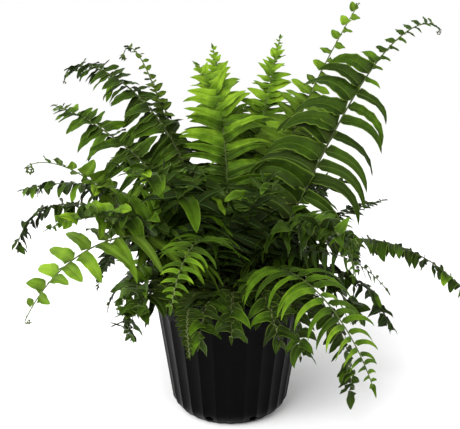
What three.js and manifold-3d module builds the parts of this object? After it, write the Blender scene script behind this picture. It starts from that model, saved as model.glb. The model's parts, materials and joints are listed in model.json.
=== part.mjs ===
// A Boston-type fern in a round nursery pot. Millimetres, +Z up, the viewer's side is -Y.
// The origin is the centre of the pot's underside.
import * as THREE from "three";
import { mergeVertices } from "three/addons/utils/BufferGeometryUtils.js";
import Module from "manifold-3d";

const wasm = await Module();
wasm.setup();

// ---- driving dimensions ----
const gap = 0.3; // clearance between pieces that touch

const potHeight = 213;
const rimRadius = 127; // outside of the rolled lip
const lipHeight = 11;
const lipOverhang = 3.5; // how far the lip stands out from the band under it
const lipRounding = 1;
const bandHeight = 41; // smooth band and lip, from the rim down to the flutes
const bandFlare = 8; // how much further out the lip is than the top of the fluted wall
const wallThickness = 1.8;
const wallTopRadius = rimRadius - bandFlare; // where the fluted wall meets the smooth band
const wallFootRadius = 96; // where the fluted wall meets the bevel at the foot
const bevelHeight = 20;
const bevelWidth = 15; // how far the bevel runs in from the fluted wall
const bevelBulge = 3; // how far the bevel's lower part stands out from a straight cone
const baseRadius = wallFootRadius - bevelWidth;
const baseThickness = 3;
const baseRecess = 1.5; // depth of the ring moulded into the underside
const basePadRadius = 24; // flat disc in the middle of the underside
const baseRingWidth = 16; // flat ring that the pot stands on

const fluteCount = 28;
const fluteDepth = 2.2;
const fluteTop = potHeight - bandHeight; // the flutes run out into the smooth band here
const fluteRunOut = 8; // height over which a flute fades in or out

const drainHoleCount = 8;
const drainHoleRadius = 6.5;
const drainHoleHeight = 11; // height of a hole's centre on the bevel
const firstDrainHole = 24; // degrees from +X towards +Y
const punchLength = 20;
const punchSides = 12;

const mixDepthBelowRim = 27;
const mixTop = potHeight - mixDepthBelowRim; // level of the potting mix
const mixClearance = 1; // between the mix and the pot's wall
const mixFootInset = 2; // further in at the floor, where the wall turns
const mixShoulder = 4; // width of the mix's sloping edge
const mixShoulderDrop = 3;
const mixSides = 40;
const crownRadius = 72; // the rootstock that all fronds grow from
const crownHeight = 26;
const footSpread = crownRadius / 72; // the feet in the table below are those of a rootstock of radius 72
const crownSides = 32;
const crownLevels = [0, 15, 30, 45, 60, 75]; // elevations of the rootstock's rings, in degrees

const stalkRadius = 2.1; // at the foot of a frond
const stalkTipRadius = 0.9;
const bareStalk = 0.14; // share of a frond's length below its first leaflets
const frondSteps = 11; // stations along a frond, with a pair of leaflets between two stations
const lowestLeaflet = 0.62; // lowest leaflets as a share of the longest
const widenOver = 0.45; // share of the blade over which the lowest leaflets grow by the longest's length
const grownTaper = 2.6; // how late a full-grown blade narrows to its tip
const youngTaper = 1;
const taperSoftness = 0.85;
const leafletLean = 12; // degrees that a leaflet leans towards the frond's tip
const leafletSag = 0.16; // drop of a leaflet's tip as a share of its length
const leafletThickness = 1.4;
const leafletClearance = 2; // a leaflet is shortened until it is this clear of its neighbours
const leafletTrims = [1, 0.8, 0.6, 0.4, 0.25]; // lengths tried, as shares of the full length
const trialFattening = 1; // extra thickness of a leaflet while it is tried
const touchVolume = 1e-6; // a common volume that counts as no touch, in cubic millimetres
const youngFrom = 0.7; // fronds of more youth than this wear the young green

// Each frond: name, foot x, foot y, heading (degrees from +X towards +Y), rise at the foot (degrees),
// droop (degrees that it has bent down by its tip), bend (how late it bends), sway (degrees that it
// turns sideways by its tip), roll (degrees about its own stalk), length, longest leaflet, and
// youth (0 is full grown, 1 is just uncurled).
const fronds = [
  ["frond_upright_1", -2, 4, 95, 85, 50, 2.5, 40, 0, 375, 74, 0.1],
  ["frond_upright_2", -8, 32, 90, 78, 20, 1.5, 22, 0, 402, 60, 0.2],
  ["frond_upright_3", 18, 36, 60, 85, 33, 0.8, 12, 15, 438, 50, 0.2],
  ["frond_upright_4", 32, 18, 38, 81, 31, 0.6, 0, 40, 520, 62, 0.8],
  ["frond_left_1", -24, 24, 140, 66, 100, 5.0, -30, -30, 525, 50, 0.9],
  ["frond_left_2", -34, 6, 160, 87, 114, 1.4, -45, -40, 600, 58, 0.4],
  ["frond_left_3", -44, -8, 178, 88, 84, 0.9, -52, -50, 445, 62, 0.4],
  ["frond_left_4", -50, -24, 195, 50, 75, 5.0, -25, -25, 345, 50, 0.9],
  ["frond_left_5", -62, 8, 175, 50, 135, 2.3, 10, -15, 375, 45, 0.5],
  ["frond_left_6", -50, 32, 155, 75, 92, 0.7, 10, 0, 415, 60, 0.1],
  ["frond_left_7", -42, -42, 220, 88, 148, 0.8, 0, -15, 380, 110, 0.9],
  ["frond_left_8", -64, 18, 150, 60, 170, 0.7, -35, 0, 255, 28, 0.1],
  ["frond_left_9", -34, -28, 215, 70, 85, 1.0, 0, 0, 310, 62, 0.1],
  ["frond_left_10", -58, -22, 208, 50, 110, 1.0, 0, -10, 150, 55, 0.1],
  ["frond_front_1", -14, -52, 255, 86, 153, 1.1, -5, 0, 292, 58, 0.1],
  ["frond_front_2", -34, -58, 250, 65, 130, 0.7, 40, 0, 178, 26, 0.1],
  ["frond_front_3", 40, -56, -60, 86, 175, 0.7, -10, 0, 190, 42, 0.1],
  ["frond_front_4", 6, -62, 268, 74, 140, 0.75, 0, 0, 150, 54, 0.1],
  ["frond_front_5", -22, -36, 240, 80, 80, 1.2, 0, 0, 330, 66, 0.2],
  ["frond_right_1", 46, -4, 8, 64, 92, 4.4, 42, 60, 596, 105, 0.7],
  ["frond_right_2", 30, -46, -60, 82, 145, 0.6, 12, 0, 335, 80, 0.2],
  ["frond_right_3", 62, -10, -2, 85, 130, 0.6, -18, 0, 358, 44, 0.3],
  ["frond_right_4", 48, -26, -30, 88, 174, 1.4, -40, 0, 293, 55, 0.2],
  ["frond_right_5", 66, 12, 10, 68, 142, 0.6, -12, 0, 275, 45, 0.1],
  ["frond_right_6", 54, 32, 35, 45, 40, 0.7, -5, 0, 310, 40, 0.2],
  ["frond_right_7", 56, -42, -38, 75, 172, 0.6, -20, 0, 258, 40, 0.1],
  ["frond_right_8", 38, 4, 40, 72, 75, 1.0, -10, 0, 280, 80, 0.1],
  ["frond_right_9", 30, -30, -14, 74, 125, 0.8, 0, 0, 255, 60, 0.1],
  ["frond_back_1", -30, 44, 125, 72, 95, 1.0, 10, 0, 430, 62, 0.1],
  ["frond_back_2", -12, 56, 105, 74, 120, 1.0, 5, 0, 440, 62, 0.2],
  ["frond_back_3", 8, 58, 82, 76, 110, 1.2, -5, 0, 470, 60, 0.3],
  ["frond_back_4", 32, 50, 60, 74, 125, 1.0, 0, 0, 420, 62, 0.2],
  ["frond_back_5", 50, 46, 45, 64, 135, 0.9, -10, 0, 350, 52, 0.1],
  ["frond_back_6", -50, 46, 138, 62, 135, 0.8, 10, 0, 350, 52, 0.2],
  ["frond_back_7", -6, 68, 95, 58, 150, 0.8, 0, 0, 300, 46, 0.1],
  ["frond_back_8", 24, 64, 70, 62, 150, 0.9, 0, 0, 330, 50, 0.1],
  ["frond_back_9", -30, 60, 115, 55, 145, 0.8, 10, 0, 330, 48, 0.1],
  ["frond_inner_1", -12, -18, 250, 84, 70, 1.5, 0, 0, 260, 55, 0.1],
  ["frond_inner_2", 14, -22, -75, 82, 80, 1.3, 0, 0, 270, 60, 0.1],
  ["frond_inner_3", -20, -6, 205, 78, 60, 1.2, 0, 0, 270, 58, 0.1],
  ["frond_inner_4", 20, -24, -40, 74, 95, 1.0, 0, 0, 255, 66, 0.1],
  ["frond_low_1", 25, -65, -72, 76, 150, 0.8, 5, 0, 165, 46, 0.1],
  ["frond_low_2", -14, -69, 258, 75, 145, 0.8, -5, 0, 160, 50, 0.1],
  ["frond_low_3", -52, -48, 222, 74, 145, 0.8, 10, 0, 175, 44, 0.1],
  ["frond_low_4", -69, -7, 186, 75, 150, 0.8, 10, 0, 170, 42, 0.1],
  ["frond_low_5", 65, -26, -20, 76, 150, 0.8, -8, 0, 180, 44, 0.1],
  ["frond_low_6", 66, 25, 24, 75, 150, 0.8, 6, 0, 175, 42, 0.1],
  ["frond_low_7", 38, 59, 56, 74, 145, 0.8, -6, 0, 185, 46, 0.1],
  ["frond_low_8", 9, 70, 84, 76, 150, 0.8, 6, 0, 170, 44, 0.1],
  ["frond_low_9", -19, 67, 107, 75, 145, 0.8, -8, 0, 180, 46, 0.1],
  ["frond_low_10", -62, 33, 151, 75, 150, 0.8, 6, 0, 175, 44, 0.1],
];
const croziers = [
  ["crozier_1", 4, -10, 80, 88, 400, 6.0, 0, 0, 150, 0, 1],
  ["crozier_2", -18, 10, 190, 84, 420, 6.0, 0, 0, 120, 0, 1],
  ["crozier_3", 22, 8, -20, 82, 400, 6.0, 0, 0, 95, 0, 1],
];

// ---- materials ----
const potPlastic = new THREE.MeshStandardMaterial({ color: 0x1b1b1a, roughness: 0.42, metalness: 0 });
const darkMix = new THREE.MeshStandardMaterial({ color: 0x2c2118, roughness: 0.95, metalness: 0 });
const rootBrown = new THREE.MeshStandardMaterial({ color: 0x4a3622, roughness: 0.85, metalness: 0 });
const leafGreen = new THREE.MeshStandardMaterial({ color: 0x3f7a1c, roughness: 0.42, metalness: 0 });
const youngGreen = new THREE.MeshStandardMaterial({ color: 0x7fae35, roughness: 0.45, metalness: 0 });

const radians = THREE.MathUtils.degToRad;
const up = new THREE.Vector3(0, 0, 1);

// ---- solids ----
// A closed geometry as a manifold-3d solid, and back.
function solidOf(geometry) {
  const bare = geometry.clone();
  bare.deleteAttribute("normal");
  bare.deleteAttribute("uv");
  const merged = mergeVertices(bare, 1e-4);
  const vertProperties = new Float32Array(merged.attributes.position.array);
  const triVerts = new Uint32Array(merged.index.array);
  return new wasm.Manifold(new wasm.Mesh({ numProp: 3, vertProperties, triVerts }));
}

function geometryOf(solid) {
  const { vertProperties, triVerts } = solid.getMesh();
  const geometry = new THREE.BufferGeometry();
  geometry.setAttribute("position", new THREE.BufferAttribute(new Float32Array(vertProperties), 3));
  geometry.setIndex(new THREE.BufferAttribute(new Uint32Array(triVerts), 1));
  geometry.computeVertexNormals();
  return geometry;
}

function geometryFrom(points, faces) {
  const geometry = new THREE.BufferGeometry();
  geometry.setAttribute("position", new THREE.Float32BufferAttribute(points.flatMap((p) => p.toArray()), 3));
  geometry.setIndex(faces.flat());
  geometry.computeVertexNormals();
  return geometry;
}

function meshOf(name, geometry, material) {
  const mesh = new THREE.Mesh(geometry, material);
  mesh.name = name;
  return mesh;
}

// ---- pot ----
function wallRadiusAt(z) {
  const share = (z - bevelHeight) / (fluteTop - bevelHeight);
  return THREE.MathUtils.lerp(wallFootRadius, wallTopRadius, share);
}

// The outline of the pot's outside from the underside up: [radius, z, share of the flute's depth].
function outerOutline() {
  const bandTop = potHeight - lipHeight;
  const mid = (bevelHeight + fluteTop) / 2;
  return [
    [baseRadius, 0, 0.5],
    [(baseRadius + wallFootRadius) / 2 + bevelBulge, bevelHeight / 3, 1],
    [wallFootRadius, bevelHeight, 1],
    [wallRadiusAt(mid), mid, 1],
    [wallRadiusAt(fluteTop - fluteRunOut), fluteTop - fluteRunOut, 1],
    [wallRadiusAt(fluteTop), fluteTop, 0],
    [rimRadius - lipOverhang, bandTop, 0],
    [rimRadius, bandTop + lipRounding, 0],
    [rimRadius, potHeight - lipRounding, 0],
    [rimRadius - lipRounding, potHeight, 0],
  ];
}

function innerWallRadiusAt(z) {
  return wallRadiusAt(z) - fluteDepth - wallThickness;
}

// The inside, from the lip down to the middle of the floor.
function innerOutline() {
  return [
    [innerWallRadiusAt(potHeight) + lipRounding, potHeight, 0],
    [innerWallRadiusAt(fluteTop), fluteTop, 0],
    [innerWallRadiusAt(bevelHeight), bevelHeight, 0],
    [baseRadius - wallThickness - fluteDepth, baseThickness, 0],
  ];
}

// The underside, from its middle out to the wall: a flat pad, a shallow ring and a flat foot ring.
function undersideOutline() {
  const ringRadius = baseRadius - baseRingWidth;
  return [
    [basePadRadius, 0, 0],
    [basePadRadius + baseRecess, baseRecess, 0],
    [ringRadius - baseRecess, baseRecess, 0],
    [ringRadius, 0, 0],
  ];
}

// Rings of points turned about Z, each flute having one ridge and one valley, with a fan at each end.
function buildPot() {
  const columns = fluteCount * 2;
  const rings = [...undersideOutline(), ...outerOutline(), ...innerOutline()];
  const points = [];
  for (const [radius, z, fluting] of rings) {
    for (let c = 0; c < columns; c++) {
      const angle = (c / columns) * 2 * Math.PI;
      const r = radius - (c % 2) * fluteDepth * fluting;
      points.push(new THREE.Vector3(r * Math.cos(angle), r * Math.sin(angle), z));
    }
  }
  const faces = [];
  for (let ring = 0; ring < rings.length - 1; ring++) {
    for (let c = 0; c < columns; c++) {
      const next = (c + 1) % columns;
      const [a, b] = [ring * columns + c, ring * columns + next];
      const [d, e] = [a + columns, b + columns];
      faces.push([a, b, e], [a, e, d]);
    }
  }
  const underCentre = points.push(new THREE.Vector3(0, 0, 0)) - 1;
  const floorCentre = points.push(new THREE.Vector3(0, 0, baseThickness)) - 1;
  const lastRing = (rings.length - 1) * columns;
  for (let c = 0; c < columns; c++) {
    const next = (c + 1) % columns;
    faces.push([underCentre, next, c]);
    faces.push([floorCentre, lastRing + c, lastRing + next]);
  }
  let pot = solidOf(geometryFrom(points, faces));
  for (let hole = 0; hole < drainHoleCount; hole++) {
    pot = pot.subtract(drainHole(hole));
  }
  return meshOf("pot", geometryOf(pot), potPlastic);
}

// A round punch through the bevel, pointing out and down at 45 degrees.
function drainHole(index) {
  const angle = radians(firstDrainHole + (index * 360) / drainHoleCount);
  const punch = new THREE.CylinderGeometry(drainHoleRadius, drainHoleRadius, punchLength, punchSides);
  const outward = new THREE.Vector3(Math.cos(angle), Math.sin(angle), -1).normalize();
  const turn = new THREE.Quaternion().setFromUnitVectors(new THREE.Vector3(0, 1, 0), outward);
  const centreRadius = (baseRadius + wallFootRadius) / 2 + bevelBulge / 3;
  punch.applyQuaternion(turn);
  punch.translate(centreRadius * Math.cos(angle), centreRadius * Math.sin(angle), drainHoleHeight);
  return solidOf(punch);
}

// ---- potting mix and rootstock ----
function buildMix() {
  const floorRadius = baseRadius - wallThickness - fluteDepth - mixFootInset;
  const topRadius = innerWallRadiusAt(mixTop) - mixClearance;
  const profile = [
    new THREE.Vector2(0, baseThickness + gap),
    new THREE.Vector2(floorRadius, baseThickness + gap),
    new THREE.Vector2(innerWallRadiusAt(bevelHeight) - mixClearance, bevelHeight),
    new THREE.Vector2(topRadius, mixTop - mixShoulderDrop),
    new THREE.Vector2(topRadius - mixShoulder, mixTop),
    new THREE.Vector2(0, mixTop),
  ];
  const mix = new THREE.LatheGeometry(profile, mixSides).rotateX(Math.PI / 2);
  return meshOf("potting_mix", mix, darkMix);
}

// Height of the rootstock's top over a point of the pot's plan.
function crownTopAt(x, y) {
  const share = Math.min(1, Math.hypot(x, y) / crownRadius);
  return mixTop + gap + crownHeight * Math.sqrt(1 - share * share);
}

function buildRootstock() {
  const profile = [new THREE.Vector2(0, mixTop + gap)];
  for (const elevation of crownLevels) {
    const a = radians(elevation);
    profile.push(new THREE.Vector2(crownRadius * Math.cos(a), mixTop + gap + crownHeight * Math.sin(a)));
  }
  profile.push(new THREE.Vector2(0, mixTop + gap + crownHeight));
  const crown = new THREE.LatheGeometry(profile, crownSides).rotateX(Math.PI / 2);
  return meshOf("rootstock", crown, rootBrown);
}

// ---- fronds ----
// Height of a stalk's foot over a point of the rootstock's dome: the lowest edge of the foot, which is
// cut square to the stalk, is one gap off the dome.
function footHeight(x, y, heading, rise) {
  const top = crownTopAt(x, y);
  const height = top - mixTop - gap;
  const out = new THREE.Vector3(x / crownRadius ** 2, y / crownRadius ** 2, height / crownHeight ** 2);
  out.normalize();
  const level = Math.cos(radians(rise));
  const along = new THREE.Vector3(Math.cos(radians(heading)) * level, Math.sin(radians(heading)) * level, 0);
  along.z = Math.sin(radians(rise));
  const lean = Math.sqrt(Math.max(0, 1 - along.dot(out) ** 2));
  return top + (gap + stalkRadius * lean) / out.z;
}

// The stations along a frond: its middle, its direction, and the directions of its side and top.
// The blade keeps its facing as the stalk bends, so it is carried along without twisting.
function stationsOf([, tableX, tableY, heading, rise, droop, bend, sway, roll, length]) {
  const x = tableX * footSpread;
  const y = tableY * footSpread;
  const foot = new THREE.Vector3(x, y, footHeight(x, y, heading, rise));
  const side = new THREE.Vector3(-Math.sin(radians(heading)), Math.cos(radians(heading)), 0);
  const stations = [];
  for (let i = 0; i <= frondSteps; i++) {
    const share = Math.min(1, (i + 0.5) / frondSteps);
    const elevation = radians(rise - droop * share ** bend);
    const turn = radians(heading + sway * share * share);
    const along = new THREE.Vector3(Math.cos(turn), Math.sin(turn), 0).multiplyScalar(Math.cos(elevation));
    along.z = Math.sin(elevation);
    side.addScaledVector(along, -side.dot(along)).normalize();
    if (i === 0) side.applyAxisAngle(along, radians(roll));
    stations.push({ middle: foot.clone(), along, side: side.clone(), top: along.clone().cross(side) });
    foot.addScaledVector(along, length / frondSteps);
  }
  return stations;
}

// Length of a leaflet as a share of the longest, at a share of the blade from its lowest pair to the
// frond's tip. A full-grown blade keeps its width for longer than a young one.
function leafletShare(share, youth) {
  const lower = Math.min(1, lowestLeaflet + share / widenOver);
  const upper = 1 - share ** THREE.MathUtils.lerp(grownTaper, youngTaper, youth);
  return lower * upper ** taperSoftness;
}

// Four corners of the stalk round a station: top, left, bottom, right.
function stalkCorners(station, share) {
  const radius = THREE.MathUtils.lerp(stalkRadius, stalkTipRadius, share);
  return [
    station.middle.clone().addScaledVector(station.top, radius),
    station.middle.clone().addScaledVector(station.side, radius),
    station.middle.clone().addScaledVector(station.top, -radius),
    station.middle.clone().addScaledVector(station.side, -radius),
  ];
}

// The tip of the leaflet between two stations on one side, and the top and bottom of its middle.
function leafletPoints(a, b, hand, length, thickness) {
  const root = a.middle.clone().lerp(b.middle, 0.5);
  const lean = radians(leafletLean);
  const tip = root.clone().addScaledVector(a.side, hand * length * Math.cos(lean));
  tip.addScaledVector(a.along, length * Math.sin(lean));
  tip.addScaledVector(up, -leafletSag * length);
  const middle = root.clone().lerp(tip, 0.5);
  const above = middle.clone().addScaledVector(a.top, thickness / 2);
  const below = middle.clone().addScaledVector(a.top, -thickness / 2);
  return [tip, above, below];
}

// Faces of one quarter-side of the stalk between two stations, with or without a leaflet on it.
// Corner numbers: top 0, left 1, bottom 2, right 3; hand is +1 on the left and -1 on the right.
function sideFaces(a, b, hand, leaflet) {
  const out = hand > 0 ? 1 : 3;
  const faces = [];
  const add = (p, q, r) => faces.push(hand > 0 ? [p, q, r] : [p, r, q]);
  if (leaflet === null) {
    add(a + 0, b + 0, b + out);
    add(a + 0, b + out, a + out);
    add(a + out, b + out, b + 2);
    add(a + out, b + 2, a + 2);
    return faces;
  }
  const [tip, above, below] = leaflet;
  const upperLoop = [a + 0, b + 0, b + out, tip, a + out];
  const lowerLoop = [b + 2, a + 2, a + out, tip, b + out];
  upperLoop.forEach((p, i) => add(p, upperLoop[(i + 1) % 5], above));
  lowerLoop.forEach((p, i) => add(p, lowerLoop[(i + 1) % 5], below));
  return faces;
}

function cornersOf(stations) {
  return stations.flatMap((station, i) => stalkCorners(station, i / frondSteps));
}

// A frond as one closed surface. lengths[i] holds the left and right leaflet lengths after station i.
function frondGeometry(stations, lengths) {
  const points = cornersOf(stations);
  const faces = [[0, 1, 2], [0, 2, 3]];
  for (let i = 0; i < frondSteps; i++) {
    for (const hand of [1, -1]) {
      const length = lengths[i] ? lengths[i][hand] : 0;
      let leaflet = null;
      if (length > 0) {
        const first = points.length;
        points.push(...leafletPoints(stations[i], stations[i + 1], hand, length, leafletThickness));
        leaflet = [first, first + 1, first + 2];
      }
      faces.push(...sideFaces(i * 4, i * 4 + 4, hand, leaflet));
    }
  }
  const end = frondSteps * 4;
  faces.push([end, end + 2, end + 1], [end, end + 3, end + 2]);
  return geometryFrom(points, faces);
}

// One leaflet with its stretch of stalk, a little fat, to try against its neighbours.
function trialLeaflet(stations, i, hand, length) {
  const points = cornersOf(stations).slice(i * 4, i * 4 + 8);
  const thickness = leafletThickness + trialFattening;
  const tried = leafletPoints(stations[i], stations[i + 1], hand, length + leafletClearance, thickness);
  points.push(...tried);
  const faces = sideFaces(0, 4, hand, [8, 9, 10]);
  const close = (p, q, r) => faces.push(hand > 0 ? [p, q, r] : [p, r, q]);
  close(0, 2, 6);
  close(0, 6, 4);
  close(0, hand > 0 ? 1 : 3, 2);
  close(4, 6, hand > 0 ? 5 : 7);
  return solidOf(geometryFrom(points, faces));
}

function boxesMeet(a, b) {
  const [p, q] = [a.boundingBox(), b.boundingBox()];
  return [0, 1, 2].every((k) => p.min[k] <= q.max[k] && q.min[k] <= p.max[k]);
}

function isClear(solid, others) {
  return others.every((other) => !boxesMeet(solid, other) || solid.intersect(other).volume() < touchVolume);
}

// Every frond's leaflets, each shortened until it is clear of the other fronds and the pot.
function buildFronds(fixedSolids) {
  const rows = [...fronds, ...croziers];
  const stations = rows.map(stationsOf);
  const stalks = stations.map((s) => solidOf(frondGeometry(s, [])));
  const leaflets = rows.map(() => []);
  return rows.map((row, k) => {
    const [name, longest, youth] = [row[0], row[10], row[11]];
    const others = rows.map((_, j) => (j === k ? [] : [stalks[j], ...leaflets[j]]));
    const neighbours = fixedSolids.concat(...others);
    const lengths = [];
    for (let i = Math.ceil(bareStalk * frondSteps); i < frondSteps && longest > 0; i++) {
      const share = (i + 0.5) / frondSteps;
      const full = longest * leafletShare((share - bareStalk) / (1 - bareStalk), youth);
      lengths[i] = { 1: 0, [-1]: 0 };
      for (const hand of [1, -1]) {
        const fits = (trim) => isClear(trialLeaflet(stations[k], i, hand, full * trim), neighbours);
        const trim = leafletTrims.find(fits);
        if (trim === undefined) continue;
        lengths[i][hand] = full * trim;
        leaflets[k].push(trialLeaflet(stations[k], i, hand, full * trim));
      }
    }
    return meshOf(name, frondGeometry(stations[k], lengths), youth > youngFrom ? youngGreen : leafGreen);
  });
}

// ---- the part ----
const pot = buildPot();
const mix = buildMix();
const rootstock = buildRootstock();
const fixedSolids = [pot, mix, rootstock].map((mesh) => solidOf(mesh.geometry));

const fern = new THREE.Group();
fern.name = "potted_fern";
fern.add(pot, mix, rootstock, ...buildFronds(fixedSolids));

export default fern;
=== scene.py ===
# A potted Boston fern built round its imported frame: a fluted nursery pot, its potting mix, the rootstock
# and every frond leaflet by leaflet. Metres, +Z up, the front is -Y.
import json
import math

import bpy
import numpy as np
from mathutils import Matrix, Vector, noise


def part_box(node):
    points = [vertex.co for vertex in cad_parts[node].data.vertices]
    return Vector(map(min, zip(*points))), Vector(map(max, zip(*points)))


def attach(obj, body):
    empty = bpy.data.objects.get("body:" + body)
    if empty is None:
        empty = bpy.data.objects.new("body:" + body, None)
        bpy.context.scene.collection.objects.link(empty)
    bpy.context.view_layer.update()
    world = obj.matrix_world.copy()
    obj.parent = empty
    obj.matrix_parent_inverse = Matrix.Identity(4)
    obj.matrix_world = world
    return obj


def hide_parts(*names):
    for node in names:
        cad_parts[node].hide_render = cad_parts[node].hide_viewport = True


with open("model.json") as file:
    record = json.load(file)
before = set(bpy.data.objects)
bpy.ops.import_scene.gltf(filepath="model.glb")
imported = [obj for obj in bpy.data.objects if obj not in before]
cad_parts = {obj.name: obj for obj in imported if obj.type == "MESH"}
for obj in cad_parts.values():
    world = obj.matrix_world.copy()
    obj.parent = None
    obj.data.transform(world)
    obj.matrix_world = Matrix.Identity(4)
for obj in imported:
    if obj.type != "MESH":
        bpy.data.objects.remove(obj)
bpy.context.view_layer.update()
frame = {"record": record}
mm = 0.001
fullTurn = 2 * math.pi
slotOfNode = {part["node"]: part["material_slot"] for part in frame["record"]["subparts"]}


# sRGB hex to the linear values that shaders take
def linearColour(hexText):
    channels = [int(hexText[i:i + 2], 16) / 255 for i in (1, 3, 5)]
    return (*[c / 12.92 if c <= 0.04045 else ((c + 0.055) / 1.055) ** 2.4 for c in channels], 1)


# Adds a node: kind is its type without the leading ShaderNode, settings go by property or socket name (or
# socket number), links as socket: (node, output), and stops are a colour ramp's places with their colours.
def addNode(tree, kind, settings=None, links=None, stops=None):
    node = tree.nodes.new("ShaderNode" + kind)
    for key, value in (settings or {}).items():
        if isinstance(value, str) and value.startswith("#"):
            value = linearColour(value)
        if isinstance(key, str) and hasattr(node, key):
            setattr(node, key, value)
        else:
            node.inputs[key].default_value = value
    for key, (source, output) in (links or {}).items():
        tree.links.new(source.outputs[output], node.inputs[key])
    if stops:
        elements = node.color_ramp.elements
        while len(elements) < len(stops):
            elements.new(0.5)
        for element, (place, colour) in zip(elements, stops):
            element.position, element.color = place, linearColour(colour)
    return node


# Ends a material that is one principled shader with a colour and a bump
def endPlain(material, settings, colour, bump):
    links = {"Base Color": (colour, 0), "Normal": (bump, 0)}
    return endMaterial(material, addNode(material.node_tree, "BsdfPrincipled", settings, links))


# A maths node: each value is a number or (node, output)
def worked(tree, operation, *values):
    numbers = {i: value for i, value in enumerate(values) if not isinstance(value, tuple)}
    links = {i: value for i, value in enumerate(values) if isinstance(value, tuple)}
    return addNode(tree, "Math", {"operation": operation, **numbers}, links)


def mapped(tree, source, fromMin, fromMax, toMin, toMax):
    settings = {"From Min": fromMin, "From Max": fromMax, "To Min": toMin, "To Max": toMax}
    return addNode(tree, "MapRange", settings, {"Value": source})


# Lays a colour over a base, by an amount that a node gives
def tinted(tree, amount, base, colour):
    return addNode(tree, "Mix", {"data_type": "RGBA", 7: colour}, {0: amount, 6: base})


# A colour ramp: each stop is a place and a colour
def coloured(tree, source, *stops):
    return addNode(tree, "ValToRGB", links={"Fac": source}, stops=stops)


def toneOf(tree):
    return addNode(tree, "Attribute", {"attribute_name": "tone"})


def bumped(tree, height, strength, distance):
    return addNode(tree, "Bump", {"Strength": strength, "Distance": distance}, {"Height": height})


# A texture or mapping node that follows the piece's own coordinates, in metres
def patterned(tree, kind, settings):
    return addNode(tree, kind, settings, {"Vector": (addNode(tree, "TexCoord"), "Object")})


def newMaterial(name):
    material = bpy.data.materials.new(name)
    material.use_nodes = True
    material.node_tree.nodes.clear()
    return material, material.node_tree


def endMaterial(material, shader):
    addNode(material.node_tree, "OutputMaterial", links={"Surface": (shader, 0)})
    return material


# Points with a map place and a tone each, and four-cornered faces with a material number each
class Shape:
    def __init__(self):
        self.points, self.faces, self.slots, self.places, self.tones = [], [], [], [], []
        self.count = 0

    def add(self, points, faces, slots, places=None, tones=0.5):
        points = np.asarray(points, float).reshape(-1, 3)
        faces = np.asarray(faces, int).reshape(-1, 4)
        self.points.append(points)
        self.faces.append(faces + self.count)
        self.slots.append(np.broadcast_to(slots, len(faces)))
        places = np.zeros((len(points), 2)) if places is None else np.asarray(places).reshape(-1, 2)
        self.places.append(places)
        self.tones.append(np.broadcast_to(tones, len(points)))
        self.count += len(points)

    def build(self, name, materials, sharpAngle):
        points, faces = np.concatenate(self.points), np.concatenate(self.faces)
        mesh = bpy.data.meshes.new(name)
        mesh.from_pydata(points.tolist(), [], faces.tolist())
        mesh.polygons.foreach_set("material_index", np.concatenate(self.slots).astype(np.int32))
        mesh.polygons.foreach_set("use_smooth", np.ones(len(faces), bool))
        places = np.concatenate(self.places)[faces.ravel()]
        mesh.uv_layers.new(name="grain").uv.foreach_set("vector", places.astype(np.float32).ravel())
        tone = mesh.attributes.new("tone", "FLOAT", "POINT")
        tone.data.foreach_set("value", np.concatenate(self.tones).astype(np.float32))
        for material in materials:
            mesh.materials.append(material)
        mesh.set_sharp_from_angle(angle=math.radians(sharpAngle))
        mesh.validate()
        piece = bpy.data.objects.new(name, mesh)
        bpy.context.scene.collection.objects.link(piece)
        return piece


# Four-cornered faces between neighbouring rings of points, each ring with as many columns
def ringFaces(rings, columns):
    faces = []
    for ring in range(rings - 1):
        for column in range(columns):
            after = (column + 1) % columns
            faces.append((ring * columns + column, ring * columns + after,
                          (ring + 1) * columns + after, (ring + 1) * columns + column))
    return faces


# Strips of four-cornered faces over the pinholes in the middle of the first and last ring of a new shape
def closeMiddles(shape, rings, columns, firstTurned):
    for first, turned in ((0, firstTurned), ((rings - 1) * columns, not firstTurned)):
        loop = list(range(first, first + columns))
        caps = [(loop[i], loop[i + 1], loop[-i - 2], loop[-i - 1]) for i in range(columns // 2 - 1)]
        shape.faces.append(np.array([cap[::-1] if turned else cap for cap in caps]))
        shape.slots.append(np.zeros(len(caps), int))


def around(radius, angle):
    return radius * math.cos(angle), radius * math.sin(angle)


# A level ring of points about Z, from millimetres
def levelRing(radius, z, columns):
    places = [around(radius, column / columns * fullTurn) for column in range(columns)]
    return [(x * mm, y * mm, z * mm) for x, y in places]


def standFor(piece, node):
    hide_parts(node)
    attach(piece, "root")


def keep(value, low, high):
    return max(low, min(high, value))


def smooth(value):
    value = keep(value, 0, 1)
    return value * value * (3 - 2 * value)


# Turns vectors about unit axes, one angle each
def rotated(vectors, axes, angles):
    cosine, sine = np.cos(angles)[..., None], np.sin(angles)[..., None]
    along = np.sum(axes * vectors, -1, keepdims=True) * axes
    return vectors * cosine + np.cross(axes, vectors) * sine + along * (1 - cosine)


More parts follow.
